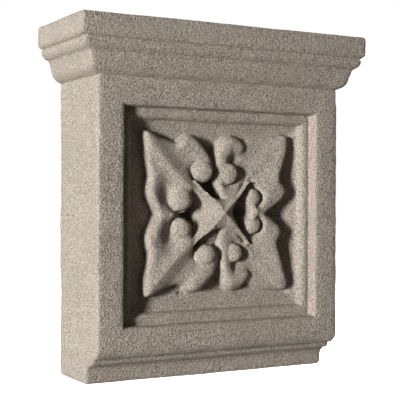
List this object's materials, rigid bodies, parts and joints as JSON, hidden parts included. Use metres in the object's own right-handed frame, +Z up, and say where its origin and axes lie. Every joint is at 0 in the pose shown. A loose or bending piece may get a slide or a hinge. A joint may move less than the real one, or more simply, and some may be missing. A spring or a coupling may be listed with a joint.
{
  "type": "stone corbel",
  "caption": "Cast-stone corbel with a moulded cap, a sunk square panel holding a four-leaved rosette, and a stepped foot.",
  "frame": {"origin": "centre of the flat back, on the plane that lies against the wall", "axes": "+Y out of the back into the wall, so the carved front faces -Y; +Z up; +X to the right seen from in front"},
  "size_m": [0.283, 0.098, 0.305],
  "materials": {
    "stone": "cast stone, fine sand-textured matte"
  },
  "bodies": {
    "root": {"corbel": "stone"}
  },
  "joints": []
}
